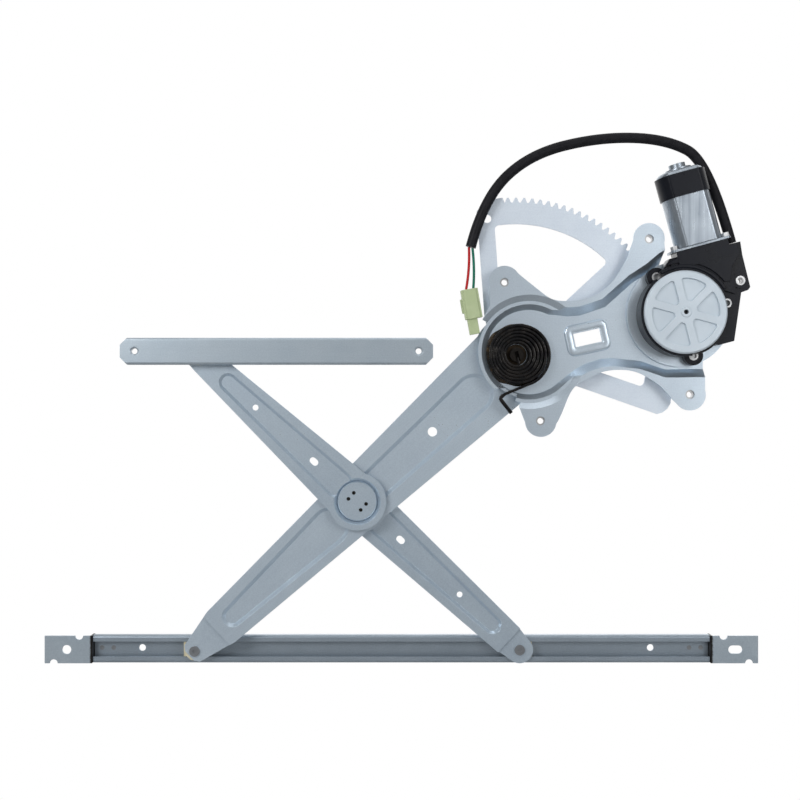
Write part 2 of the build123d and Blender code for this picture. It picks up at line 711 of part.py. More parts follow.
top_floor = [
    (20.0, 34.5), (33.0, 33.9), (43.2, 32.7), (54.2, 33.5), (75.3, 40.7), (98.2, 61.0),
    (113.4, 71.0), (124.0, 80.0),
]
bottom_floor = [
    (150.0, -11.8), (126.1, -12.2), (104.9, -5.0), (81.2, -2.5), (71.1, -3.3),
    (58.0, -7.5), (49.9, -12.0), (41.5, -18.5), (34.0, -25.0),
]
with BuildSketch(front_plane(pan_front)) as pan_floor:
    with BuildLine():
        Polyline(*top_floor)
        Polyline(top_floor[-1], (150.0, 84.0), (182.5, 60.0), (182.5, 10.0), (160.0, -11.8))
        Line((160.0, -11.8), bottom_floor[0])
        Polyline(*bottom_floor)
        Line(bottom_floor[-1], top_floor[0])
    make_face()

pan_opening = offset(offset(pan_floor.sketch, -3.0), 3.0)
pad_at = (60.3, 14.6)
pad_turn = 12.5
wall_grow = 1.2
with BuildPart() as base_plate:
    extrude(flange_shape.sketch, amount=plate_sheet)
    with BuildPart(mode=Mode.PRIVATE) as pan_shell:
        grown = offset(pan_opening, wall_grow, mode=Mode.PRIVATE)
        lowered = grown.moved(Location((0, plate_sheet, 0)))
        extrude(lowered, amount=-pan_back - 0.5, taper=-pan_draft)
        limit = flange_shape.sketch.moved(Location((0, -pan_back - plate_sheet, 0)))
        extrude(limit, amount=-pan_back, mode=Mode.INTERSECT)
    add(pan_shell.part)
    with BuildPart(mode=Mode.PRIVATE) as hub_wall:
        outer = hub_edge_radius + 1.4
        press([(0, 0, outer)], -0.5, ledge_front - plate_sheet, 5.0, 0, hub)
        extrude(limit, amount=-pan_back, mode=Mode.INTERSECT)
    add(hub_wall.part)
    disc(hub[0], hub[1], hub_edge_radius, ledge_front - plate_sheet, plate_sheet)
    press([(0, 0, 37.1)], ledge_front - 1, pan_back, 4.0, 0, hub)
    extrude(pan_opening, amount=-pan_front + 0.01, taper=-pan_draft, mode=cut)
    press([(0, 0, hub_edge_radius)], 0.01, ledge_front, 5.0, 0, hub, cut)
    press([(0, 0, 35.7)], ledge_front + 0.01, pan_front, 4.5, 0, hub, cut)
    disc(pinion_x, pinion_z, seat_radius, pan_back, seat_front - pan_back)
    disc(pinion_x, pinion_z, seat_radius - 2.5, pan_back - 1, seat_front - pan_front + 0.5 + 0.5, mode=cut)
    disc(pinion_x, pinion_z, 17.3, -20, 30, mode=cut)
    for level, size, cutting in ((pan_front - 0.5, 0.0, Mode.ADD), (pan_back - 0.1, -2.6, cut)):
        with BuildSketch(front_plane(level, pad_at[0], pad_at[1], pad_turn)) as pad:
            RectangleRounded(36.0 + size, 25.0 + size, 6.0 + size / 2)
        extrude(pad.sketch, amount=2.1, mode=cutting)
    bar(pad_at[0], pad_at[1], 22.5, 11.3, -30, 40, pad_turn, cut)
    for x, z in ear_holes:
        disc(x, z, ear_hole_radius, -30, 40, mode=cut)
    disc(0, 0, bush_outer, -30, 40, mode=cut)
    tail_gap = [(2, -26), (-18, -29), (-20, -42), (-14, -53), (-1, -53), (-3, -44), (0, -36)]
    slab(tail_gap, -7.9, 9.0, mode=cut)
    disc(pinion_x, pinion_z, seat_radius, seat_front, 10, mode=cut)
    for x, z, foot_front in feet:
        disc(x, z, 2.9, -20, 30, mode=cut)
save(base_plate, "base_plate")
print("base plate", base_plate.part.volume, len(base_plate.part.solids()), base_plate.part.is_valid)

with BuildPart() as ear_weld_nuts:
    for x, z in ear_holes:
        ring(x, z, 6.5, 2.5, -plate_sheet - 6.0, 6.0)
save(ear_weld_nuts, "ear_weld_nuts")

# Counterbalance spring: a flat strip coiled round the slotted shaft and hooked on the pan.
strip = 2.2
strip_front = -1.5
strip_back = -7.6
coils = 6
spring_inner = 9.2
spring_outer = 26.2
spring_middle = (2.2, 0.0)
end_bearing = radians(slot_bearing)
outer_side = []
inner_side = []
steps = coils * 20
for step in range(steps + 1):
    angle = end_bearing + (1 - step / steps) * coils * 2 * pi
    radius = spring_inner + (spring_outer - spring_inner) * step / steps
    drift = (spring_middle[0] * step / steps, spring_middle[1] * step / steps)
    outer_side.append(polar(radius + strip / 2, angle, drift))
    inner_side.append(polar(radius - strip / 2, angle, drift))
tail_outer = [(-8.97, -33.86), (-11.6, -35.8), (-3.5, -48.4)]
tail_inner = [(-5.3, -49.6), (-14.6, -35.2), (-10.03, -31.94)]
with BuildPart() as spring:
    slab(outer_side + tail_outer + tail_inner + inner_side[::-1], strip_back, strip_front - strip_back)
    lead = polar(6.0, end_bearing)
    bar(lead[0], lead[1], 7.0, strip, strip_back, strip_front - strip_back, slot_bearing)
save(spring, "counterbalance_spring")
print("spring", spring.part.volume, len(spring.part.solids()))

# Motor group: gear housing, worm wheel, output shaft with its pinion, and the motor can.
wheel_radius = 23.3
worm_radius = 4.2
housing_radius = 36.5
housing_front = 17.0
cavity_back = -2.0
cavity_front = 11.5
output_radius = 5.0
motor_level = 5.0
motor_lean = 15.2
motor_foot = (151.5, 90.0)
axis_x = -sin(radians(motor_lean))
axis_z = cos(radians(motor_lean))


def along_motor(reach, side=0.0):
    return (
        motor_foot[0] + reach * axis_x + side * axis_z,
        motor_foot[1] + reach * axis_z - side * axis_x,
    )


def motor_plane(reach):
    """A plane square to the motor's axis; its x axis runs across and y to the glass."""
    x, z = along_motor(reach)
    return Plane(
        origin=(x, -motor_level, z), x_dir=(axis_z, 0, -axis_x), z_dir=(axis_x, 0, axis_z)
    )


housing_block = [
    (125.3, 79.1), (184.3, 93.7), (186.0, 82.5), (192.6, 55.9), (190.9, 53.4),
    (185.1, 51.3), (179.3, 11.0), (166.8, 7.7), (150.0, 12.0), (150.0, 60.0), (118.0, 66.0),
]
foot_radius = 8.0
sleeve_radius = 3.9
ear_bolt = (184.2, 61.1)
ear_bolt_back = 3.0
ear_bolt_length = 10.5
with BuildPart() as gear_housing:
    disc(pinion_x, pinion_z, housing_radius, seat_front, housing_front - seat_front)
    slab(housing_block, seat_front, 19.0)
    neck = [along_motor(0.0, -22), along_motor(0.0, 22), along_motor(-14.0, 22), along_motor(-14.0, -22)]
    slab(neck, seat_front, motor_level + 12.0 - seat_front)
    slab([(128.0, 66.0), (126.0, 76.0), (176.0, 88.0), (180.0, 50.0)], 0.0, 15.0)
    for x, z, foot_front in feet:
        disc(x, z, foot_radius, seat_front, foot_front - seat_front)
    disc(ear_bolt[0], ear_bolt[1], 6.5, ear_bolt_back, ear_bolt_length)
    disc(pinion_x, pinion_z, 16.9, pan_back, seat_front - pan_back)
    disc(pinion_x, pinion_z, wheel_radius + 2.5, cavity_back, cavity_front - cavity_back, mode=cut)
    disc(pinion_x, pinion_z, output_radius + running_clearance, -30, 60, mode=cut)
    disc(ear_bolt[0], ear_bolt[1], sleeve_radius, -30, 60, mode=cut)
    for x, z, foot_front in feet:
        disc(x, z, sleeve_radius, -30, 60, mode=cut)
    with BuildSketch(motor_plane(0.0)) as tunnel:
        Circle(6.0)
    extrude(tunnel.sketch, amount=-80.0, mode=cut)
save(gear_housing, "gear_housing")
print("housing", gear_housing.part.volume, len(gear_housing.part.solids()))

with BuildPart() as insert_sleeves:
    for x, z, foot_front in feet:
        ring(x, z, sleeve_radius, 2.5, seat_front, foot_front - seat_front + 0.4)
    ring(ear_bolt[0], ear_bolt[1], sleeve_radius, 2.5, ear_bolt_back, ear_bolt_length + 0.4)
save(insert_sleeves, "insert_sleeves")

with BuildPart() as motor_screws:
    for x, z, foot_front in feet:
        disc(x, z, 2.5, seat_front - plate_sheet, 9.0)
        disc(x, z, 4.3, seat_front - plate_sheet - 2.4, 2.4)
save(motor_screws, "motor_mount_screws")

cover_radius = 34.5
cover_thickness = 4.0
with BuildPart() as gear_cover:
    disc(pinion_x, pinion_z, cover_radius, housing_front, cover_thickness)
    chamfer(gear_cover.edges().filter_by(GeomType.CIRCLE).sort_by(Axis.Y)[0], 1.2)
    for number in range(6):
        bearing = 75.0 + number * 60.0
        with BuildSketch(front_plane(housing_front + 1.8, pinion_x, pinion_z, bearing)) as wedge:
            Circle(28.0)
            Circle(9.5, mode=Mode.SUBTRACT)
            with BuildLine():
                Polyline((6.4, 0), (60.0, 30.95), (60.0, -30.95), close=True)
            make_face(mode=Mode.INTERSECT)
            fillet(wedge.vertices(), 1.8)
        extrude(wedge.sketch, amount=10.0, mode=cut)
    disc(pinion_x, pinion_z, 4.2, housing_front, cover_thickness + 0.8)
    disc(pinion_x, pinion_z, 1.9, housing_front + 1.0, 20, mode=cut)
save(gear_cover, "gear_cover")
print("cover", gear_cover.part.volume, len(gear_cover.part.solids()))

wheel_back = 0.5
wheel_thickness = 9.0
with BuildPart() as worm_wheel:
    with BuildSketch(front_plane(wheel_back, pinion_x, pinion_z)) as outline:
        Circle(wheel_radius - 1.2)
        with PolarLocations(wheel_radius - 1.0, 48):
            Rectangle(2.0, 1.5)
        Circle(output_radius, mode=Mode.SUBTRACT)
    extrude(amount=wheel_thickness)
save(worm_wheel, "worm_wheel")

pinion_front = sector_front + 0.8
pinion_thickness = 5.0
with BuildPart() as output_shaft:
    back = pinion_front - pinion_thickness - 0.6
    disc(pinion_x, pinion_z, output_radius, back, cavity_front + 3.0 - back)
save(output_shaft, "output_shaft")

pinion_root, pinion_radii, pinion_halves = tooth_points(pinion_teeth)
bearing_in = radians(pinion_bearing)
near_tooth = round((sector_first_tooth - pinion_bearing) / tooth_pitch)
offset_turn = radians(sector_first_tooth - near_tooth * tooth_pitch - pinion_bearing)
gap_at = bearing_in + pi - sector_radius / pinion_radius * offset_turn
with BuildPart() as output_pinion:
    points = []
    for tooth in range(pinion_teeth):
        middle = gap_at + (tooth + 0.5) * 2 * pi / pinion_teeth
        points.append(polar(pinion_root, middle - pi / pinion_teeth * 0.72))
        for radius, half in zip(pinion_radii, pinion_halves):
            points.append(polar(radius, middle - half))
        for radius, half in zip(reversed(pinion_radii), reversed(pinion_halves)):
            points.append(polar(radius, middle + half))
        points.append(polar(pinion_root, middle + pi / pinion_teeth * 0.72))
    slab(points, pinion_front - pinion_thickness, pinion_thickness, 0, pinion_at)
    disc(pinion_x, pinion_z, output_radius, -30, 60, mode=cut)
save(output_pinion, "output_pinion")
print("pinion", output_pinion.part.volume, len(output_pinion.part.solids()), pinion_root)

with BuildPart() as worm_shaft:
    with BuildSketch(motor_plane(-2.0)) as thick:
        Circle(worm_radius)
    extrude(thick.sketch, amount=-68.0)
    with BuildSketch(motor_plane(-72.0)) as thin:
        Circle(2.5)
    extrude(thin.sketch, amount=128.0)
save(worm_shaft, "worm_shaft")

can_length = 66.0
can_width = 40.0
can_depth = 31.0
can_wall = 1.5
flange_sheet = 2.0
shoulder = 5.0             # rounding of the can's closed end


def can_section(plane, extra):
    with BuildSketch(plane) as outline:
        Circle(can_width / 2 + extra)
        Rectangle(can_width + 9 + 2 * extra, can_depth + 2 * extra, mode=Mode.INTERSECT)
        fillet(outline.vertices(), 3.0)
    return outline.sketch


with BuildPart() as motor_can:
    extrude(can_section(motor_plane(flange_sheet), 0.0), amount=can_length - flange_sheet)
    fillet(motor_can.faces().sort_by(lambda face: face.center().Z)[-1].edges(), shoulder)
    for radius, length in ((11.0, 2.5), (7.0, 6.5)):
        with BuildSketch(motor_plane(can_length - 1.0)) as boss:
            Circle(radius)
        extrude(boss.sketch, amount=length)
    step_at = can_length - can_wall - shoulder
    extrude(can_section(motor_plane(1.0), -can_wall), amount=step_at - 1.0, mode=cut)
    extrude(can_section(motor_plane(step_at), -can_wall - 3.5), amount=shoulder, mode=cut)
    with BuildSketch(motor_plane(can_length - 8.0)) as seat:
        Circle(2.55)
    extrude(seat.sketch, amount=10.0, mode=cut)
save(motor_can, "motor_can")
print("can", motor_can.part.volume, len(motor_can.part.solids()))

with BuildPart() as magnets:
    with BuildSketch(motor_plane(16.0)) as outline:
        add(can_section(Plane.XY, -can_wall - 0.2))
        Circle(13.6, mode=Mode.SUBTRACT)
        Rectangle(20.0, 60.0, mode=Mode.SUBTRACT)
    extrude(outline.sketch, amount=36.0)
save(magnets, "motor_magnets")

with BuildPart() as armature:
    with BuildSketch(motor_plane(18.0)) as outline:
        Circle(12.6)
        with PolarLocations(12.0, 8):
            Rectangle(5.0, 1.6, mode=Mode.SUBTRACT)
        Circle(2.5, mode=Mode.SUBTRACT)
    extrude(outline.sketch, amount=32.0)
save(armature, "armature")

with BuildPart() as commutator:
    with BuildSketch(motor_plane(7.5)) as outline:
        Circle(6.0)
        Circle(2.5, mode=Mode.SUBTRACT)
    extrude(outline.sketch, amount=8.0)
save(commutator, "commutator")

with BuildPart() as brush_card:
    with BuildSketch(motor_plane(4.2)) as outline:
        add(can_section(Plane.XY, -can_wall - 0.2))
        Circle(8.5, mode=Mode.SUBTRACT)
    extrude(outline.sketch, amount=2.5)
    for side in (1, -1):
        with BuildSketch(motor_plane(6.0)) as brush:
            with Locations((side * 10.2, 0)):
                Rectangle(7.8, 5.0)
        extrude(brush.sketch, amount=7.0)
save(brush_card, "brush_card")

with BuildPart() as motor_flange:
    with BuildSketch(motor_plane(0.0)) as outline:
        Rectangle(50.4, 25.0)
        with Locations((24.0, 6.0)):
            Rectangle(11.0, 14.0, mode=Mode.SUBTRACT)
        fillet(outline.vertices(), 3.0)
        Circle(6.0, mode=Mode.SUBTRACT)
    extrude(outline.sketch, amount=flange_sheet)
save(motor_flange, "motor_flange")

with BuildPart() as flange_screws:
    for side in (-21.8, 21.8):
        with BuildSketch(motor_plane(flange_sheet)) as head:
            with Locations((side, -8.0)):
                RegularPolygon(3.3, 6)
        extrude(head.sketch, amount=3.2)
save(flange_screws, "flange_screws")

# Band round the can that also holds the cable against its right side.
band_start = 43.5
band_length = 19.0
cable_radius = 4.4
with BuildPart() as harness_band:
    with BuildSketch(motor_plane(band_start)) as outline:
        add(can_section(Plane.XY, 1.2))
        add(can_section(Plane.XY, 0.0), mode=Mode.SUBTRACT)
    extrude(outline.sketch, amount=band_length)
save(harness_band, "harness_band")
print("magnets", magnets.part.volume, "armature", armature.part.volume)
print("band", harness_band.part.volume, len(harness_band.part.solids()))

# Cable: a sheathed pair that leaves the housing, arches over the sector and hangs to its plug.
cable_points = [
    (179.5, -1.0, 93.5), (160.8, 0.0, 162.0), (126.0, 4.0, 182.0), (70.0, 6.5, 184.0),
    (10.0, 6.5, 169.0), (-28.0, 6.5, 131.0), (-38.5, 6.5, 91.0),
]
wire_radius = 1.1
wire_gap = 1.5
red_points = [(-38.5 - wire_gap, 6.5, 90.95), (-39.2, 6.5, 73.0), (-42.4, 6.5, 55.3)]
green_points = [(-38.5 + wire_gap, 6.5, 90.15), (-35.0, 6.5, 73.0), (-36.3, 6.5, 56.4)]


def bend_radii(points):
    """Radii of the bends, sized so that neighbouring bends do not meet."""
    radii = []
    for before, middle, after in zip(points, points[1:], points[2:]):
        into = Vector(*middle) - Vector(*before)
        out = Vector(*after) - Vector(*middle)
        half = radians(into.get_angle(out)) / 2
        radii.append(0.45 * min(into.length, out.length) / tan(half))
    return radii


def round_cord(points, radius):
    radii = bend_radii(points)
    with BuildLine() as route:
        FilletPolyline(*points, radius=radii)
    start = Vector(*points[1]) - Vector(*points[0])
    with BuildSketch(Plane(origin=points[0], z_dir=start)) as section:
        Circle(radius)
    wire = route.wire()
    sweep(section.sketch, path=wire)
    print("bends", [round(r, 1) for r in radii], "length", round(wire.length, 1))
    return wire.length * pi * radius ** 2


for builder_name, points, radius in (
    ("harness_sleeve", cable_points, cable_radius),
    ("red_wire", red_points, wire_radius),
    ("green_wire", green_points, wire_radius),
):
    with BuildPart() as cord:
        expected = round_cord(points, radius)
    print(builder_name, cord.part.volume / expected)
    save(cord, builder_name)

plug_lean = 10.0
plug_back = -11.4
with BuildPart() as connector:
    bar(-38.0, 43.0, 14.6, 25.0, plug_back, 10.0, plug_lean)
    bar(-36.3, 24.4, 8.6, 14.0, plug_back + 1.0, 8.0, plug_lean)
    bar(-43.7, 41.0, 6.0, 12.0, plug_back + 2.6, 4.8, plug_lean)
    bar(-38.0, 43.0, 11.0, 25.0, plug_back + 9.2, 2.0, plug_lean)
save(connector, "connector")
print("connector", connector.part.volume, len(connector.part.solids()))
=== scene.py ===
from math import cos, hypot, pi, radians, sin
import bpy
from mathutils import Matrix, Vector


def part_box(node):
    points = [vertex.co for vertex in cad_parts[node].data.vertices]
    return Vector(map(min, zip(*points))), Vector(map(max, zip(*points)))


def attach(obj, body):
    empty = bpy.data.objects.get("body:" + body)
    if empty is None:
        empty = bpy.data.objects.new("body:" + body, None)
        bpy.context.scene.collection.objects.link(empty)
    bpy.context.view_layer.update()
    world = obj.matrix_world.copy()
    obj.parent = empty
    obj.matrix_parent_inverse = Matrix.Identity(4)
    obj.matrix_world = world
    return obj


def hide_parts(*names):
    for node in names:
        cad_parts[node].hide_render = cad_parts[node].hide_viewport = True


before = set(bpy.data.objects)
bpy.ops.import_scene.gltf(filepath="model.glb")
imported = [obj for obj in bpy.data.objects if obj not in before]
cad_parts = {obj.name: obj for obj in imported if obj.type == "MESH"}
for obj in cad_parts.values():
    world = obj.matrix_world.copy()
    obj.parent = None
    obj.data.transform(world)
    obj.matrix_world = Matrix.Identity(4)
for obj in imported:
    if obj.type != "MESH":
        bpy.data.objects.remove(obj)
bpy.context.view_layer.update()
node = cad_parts
quarter_turn = 1.5707963

# Camera. It looks level from the cabin at the regulator, as the photograph does,
# from a little over a metre away.
camera_data = bpy.data.cameras.new("camera")
camera_data.sensor_width = 36.0
camera_data.lens = 60.9
camera = bpy.data.objects.new("camera", camera_data)
camera.location = (-0.0982, -1.136, -0.0380)
camera.rotation_euler = (quarter_turn, 0.0, 0.0)
bpy.context.scene.collection.objects.link(camera)
bpy.context.scene.camera = camera

# Studio. A plain white floor and wall and four soft lamps; the floor lies well below
# the hanging regulator. The camera sees both pure white; the steel sees a dimmer floor,
# so that the walls of the pan that face down are shaded.
bpy.context.scene.view_settings.view_transform = "Standard"
for other in bpy.context.selected_objects:
    other.select_set(False)


class Socket:
    """An output of a node, which sums and products can be made with."""

    def __init__(self, tree, output):
        self.tree = tree
        self.output = output

    def node(self, kind, output=0, settings=None, **inputs):
        """Adds a node; each keyword names one of its inputs."""
        made = self.tree.nodes.new(kind)
        for name, value in (settings or {}).items():
            setattr(made, name, value)
        for name, value in inputs.items():
            numbered = name[0] == "i" and name[1:].isdigit()
            key = int(name[1:]) if numbered else name.replace("_", " ")
            if isinstance(value, Socket):
                self.tree.links.new(value.output, made.inputs[key])
            else:
                made.inputs[key].default_value = value
        return Socket(self.tree, made.outputs[output])

    def math(self, operation, other):
        """This value and another one, or a number, put through a sum."""
        return self.node("ShaderNodeMath", settings={"operation": operation}, i0=self, i1=other)

    def __add__(self, other):
        return self.math("ADD", other)

    def __sub__(self, other):
        return self.math("SUBTRACT", other)

    def __mul__(self, other):
        return self.math("MULTIPLY", other)

    def ramp(self, low, high, first, second):
        """Goes from the first value to the second while this one goes from low to high."""
        return self.node(
            "ShaderNodeMapRange", i0=self, i1=low, i2=high, i3=first, i4=second
        )

    def blend(self, first, second):
        """A colour between two colours, by this value."""
        made = self.tree.nodes.new("ShaderNodeMix")
        made.data_type = "RGBA"
        self.tree.links.new(self.output, made.inputs[0])
        for place, value in ((6, first), (7, second)):
            if isinstance(value, Socket):
                self.tree.links.new(value.output, made.inputs[place])
            else:
                made.inputs[place].default_value = (*value, 1.0)
        return Socket(self.tree, made.outputs[2])


def new_material(name):
    """A material with its own shader, and the place on the object as a socket."""
    material = bpy.data.materials.new(name)
    material.use_nodes = True
    tree = material.node_tree
    shader = tree.nodes["Principled BSDF"]
    place = Socket(tree, tree.nodes.new("ShaderNodeTexCoord").outputs["Object"])
    return material, tree, shader, place


def studio_surface(name, shine):
    """White to the camera, as bright as shine in reflections, and matt to the light."""
    material, tree, shader, place = new_material(name)
    shader.inputs["Base Color"].default_value = (0.82, 0.82, 0.82, 1.0)
    shader.inputs["Roughness"].default_value = 1.0
    path = tree.nodes.new("ShaderNodeLightPath")
    seen = Socket(tree, path.outputs["Is Camera Ray"])
    mirrored = Socket(tree, path.outputs["Is Glossy Ray"])
    through = Socket(tree, path.outputs["Is Transmission Ray"])
    white = tree.nodes.new("ShaderNodeEmission")
    tree.links.new(mirrored.ramp(0.0, 1.0, 1.0, shine).output, white.inputs["Strength"])
    mixed = tree.nodes.new("ShaderNodeMixShader")
    lit = seen.math("MAXIMUM", mirrored.math("MAXIMUM", through))
    tree.links.new(lit.output, mixed.inputs[0])
    tree.links.new(shader.outputs[0], mixed.inputs[1])
    tree.links.new(white.outputs[0], mixed.inputs[2])
    tree.links.new(mixed.outputs[0], tree.nodes["Material Output"].inputs[0])
    return material


for name, shine, size, place, turn in (
    ("floor", 0.25, 7.0, (0.0, 0.0, -0.62), (0.0, 0.0, 0.0)),
    ("backdrop", 1.0, 7.0, (0.0, 2.2, 2.0), (quarter_turn, 0.0, 0.0)),
):
    bpy.ops.mesh.primitive_plane_add(size=size, location=place, rotation=turn)
    plane = bpy.context.object
    plane.name = name
    plane.data.materials.append(studio_surface(name + "_white", shine))

world = bpy.data.worlds.new("studio")
bpy.context.scene.world = world
world.use_nodes = True
world_tree = world.node_tree
plain_light = world_tree.nodes["Background"]
plain_light.inputs[0].default_value = (1.0, 1.0, 1.0, 1.0)
plain_light.inputs[1].default_value = 0.30
world_path = world_tree.nodes.new("ShaderNodeLightPath")
seen = Socket(world_tree, world_path.outputs["Is Camera Ray"])
seen = seen.math("MAXIMUM", Socket(world_tree, world_path.outputs["Is Transmission Ray"]))
seen_white = world_tree.nodes.new("ShaderNodeBackground")
world_mix = world_tree.nodes.new("ShaderNodeMixShader")
world_tree.links.new(seen.output, world_mix.inputs[0])
world_tree.links.new(plain_light.outputs[0], world_mix.inputs[1])
world_tree.links.new(seen_white.outputs[0], world_mix.inputs[2])
world_tree.links.new(world_mix.outputs[0], world_tree.nodes["World Output"].inputs[0])
seen_white.inputs[0].default_value = (1.0, 1.0, 1.0, 1.0)

for name, energy, size, place, turn in (
    ("key", 12.5, 0.7, (-1.1, -1.4, 0.55), (1.262, 0.0, -0.62)),
    ("fill", 7.0, 0.9, (0.95, -1.5, 0.35), (1.379, 0.0, 0.588)),
    ("top", 4.0, 1.2, (0.0, -0.3, 1.4), (0.2, 0.0, 0.0)),
    ("rear", 5.0, 1.6, (0.3, 1.6, 0.5), (-1.3, 0.0, 0.0)),
):
    lamp = bpy.data.lights.new(name, "AREA")
    lamp.energy = energy
    lamp.size = size
    holder = bpy.data.objects.new(name, lamp)
    holder.location = place
    holder.rotation_euler = turn
    bpy.context.scene.collection.objects.link(holder)


# Plug. A milky yellow-green housing of moulded nylon, cloudy in its tone. It hangs on
# the wires of the cable.
def moulded(name, dark, light, roughness, grain, bump_size):
    """Moulded plastic with a faint cloud in its colour and a fine grained skin."""
    material, tree, shader, place = new_material(name)
    cloud = place.node("ShaderNodeTexNoise", Vector=place, Scale=grain, Detail=3.0)
    skin = place.node("ShaderNodeTexNoise", Vector=place, Scale=grain * 14.0, Detail=2.0)
    tree.links.new(cloud.blend(dark, light).output, shader.inputs["Base Color"])
    rough = cloud.ramp(0.3, 0.7, roughness - 0.06, roughness + 0.06)
    tree.links.new(rough.output, shader.inputs["Roughness"])
    bump = place.node("ShaderNodeBump", Height=skin, Strength=0.2, Distance=bump_size)
    tree.links.new(bump.output, shader.inputs["Normal"])
    return material


def finish_node(name, material):
    """Gives a solid of the frame its finish."""
    mesh = node[name].data
    mesh.materials.clear()
    mesh.materials.append(material)


def select_only(piece):
    """Makes a piece the one that the operators work on."""
    for other in bpy.context.selected_objects:
        other.select_set(False)
    piece.select_set(True)
    bpy.context.view_layer.objects.active = piece


def soften(piece, radius):
    """Rounds a piece's edges, as bending, drawing and casting leave them."""
    select_only(piece)
    bpy.ops.object.mode_set(mode="EDIT")
    bpy.ops.mesh.select_all(action="SELECT")
    bpy.ops.mesh.remove_doubles(threshold=0.00002)
    bpy.ops.mesh.dissolve_limited(angle_limit=0.01)
    bpy.ops.mesh.normals_make_consistent(inside=False)
    bpy.ops.object.mode_set(mode="OBJECT")
    edges = piece.modifiers.new("edges", "BEVEL")
    edges.limit_method = "ANGLE"
    edges.angle_limit = 0.38
    edges.width = radius
    edges.segments = 4
    bpy.ops.object.modifier_apply(modifier="edges")
    bpy.ops.object.shade_smooth_by_angle(angle=0.7)
    flats = piece.modifiers.new("flats", "WEIGHTED_NORMAL")
    flats.keep_sharp = True
    flats.weight = 80
    bpy.ops.object.modifier_apply(modifier="flats")


def rounded(name, title, material, body, radius):
    """A copy of a solid with soft edges, which stands for it."""
    piece = bpy.data.objects.new(title, node[name].data.copy())
    bpy.context.scene.collection.objects.link(piece)
    soften(piece, radius)
    piece.data.materials.clear()
    piece.data.materials.append(material)
    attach(piece, body)
    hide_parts(name)
    return piece


plug_nylon = moulded("plug_nylon", (0.41, 0.50, 0.27), (0.52, 0.60, 0.37), 0.4, 120.0, 0.0001)
plug = rounded("connector", "plug_housing", plug_nylon, "base", radius=0.0007)


# Cable. A black sleeved pair leaves the gear housing, is held by the band on the can
# and arches over the sector; it's stiff enough to keep its bend.
cable_route = [
    (0.1795, -0.0010, 0.0935), (0.1608, 0.0000, 0.1620), (0.1260, 0.0040, 0.1820),
    (0.0700, 0.0065, 0.1840), (0.0100, 0.0065, 0.1690), (-0.0280, 0.0065, 0.1310),
    (-0.0385, 0.0065, 0.0910),
]
red_route = [(-0.0400, 0.0065, 0.09095), (-0.0392, 0.0065, 0.0730), (-0.0424, 0.0065, 0.0553)]
green_route = [(-0.0370, 0.0065, 0.09015), (-0.0350, 0.0065, 0.0730), (-0.0363, 0.0065, 0.0564)]


def cord_along(name, route, radius):
    """A round cord on one smooth line through the route."""
    curve = bpy.data.curves.new(name, "CURVE")
    curve.dimensions = "3D"
    line = curve.splines.new("NURBS")
    line.points.add(len(route) - 1)
    for point, place in zip(line.points, route):
        point.co = (*place, 1.0)
    line.order_u = 3
    line.use_endpoint_u = True
    line.resolution_u = 24
    curve.bevel_depth = radius
    curve.bevel_resolution = 6
    curve.use_fill_caps = True
    piece = bpy.data.objects.new(name, curve)
    bpy.context.scene.collection.objects.link(piece)
    return piece


def cord_cover(name, dark, light, roughness, grain):
    """Soft plastic or tape with a fine uneven skin."""
    material, tree, shader, place = new_material(name)
    cloud = place.node("ShaderNodeTexNoise", Vector=place, Scale=grain, Detail=4.0)
    skin = place.node("ShaderNodeTexNoise", Vector=place, Scale=grain * 9.0, Detail=3.0)
    tree.links.new(cloud.blend(dark, light).output, shader.inputs["Base Color"])
    rough = cloud.ramp(0.3, 0.7, roughness - 0.07, roughness + 0.07)
    tree.links.new(rough.output, shader.inputs["Roughness"])
    bump = place.node("ShaderNodeBump", Height=skin, Strength=0.25, Distance=0.0002)
    tree.links.new(bump.output, shader.inputs["Normal"])
    shader.inputs["Specular IOR Level"].default_value = 0.12
    return material


cable = cord_along("cable", cable_route, 0.0044)
cable.data.materials.append(
    cord_cover("cable_cover", (0.006, 0.006, 0.008), (0.022, 0.022, 0.026), 0.46, 260.0)
)
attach(cable, "base")
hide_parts("harness_sleeve")
for name, route, node_name, dark, light in (
    ("wire_red", red_route, "red_wire", (0.42, 0.012, 0.016), (0.62, 0.03, 0.03)),
    ("wire_green", green_route, "green_wire", (0.01, 0.13, 0.085), (0.02, 0.22, 0.14)),
):
    wire = cord_along(name, route, 0.0011)
    wire.data.materials.append(cord_cover(name + "_cover", dark, light, 0.4, 300.0))
    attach(wire, "base")
    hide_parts(node_name)


# Sheet steel. The plate, sector, arms and rails are cold rolled sheet with a zinc coat;
# it is satin, with a fine grain, faint rolling lines and soft clouds.
def distance_to(place, axes, x, z):
    """How far a place is from a point, measured along the given axes only."""
    flat = place.node(
        "ShaderNodeVectorMath", settings={"operation": "MULTIPLY"}, i0=place, i1=axes
    )
    return flat.node(
        "ShaderNodeVectorMath", output=1, settings={"operation": "DISTANCE"},
        i0=flat, i1=(x, 0.0, z),
    )


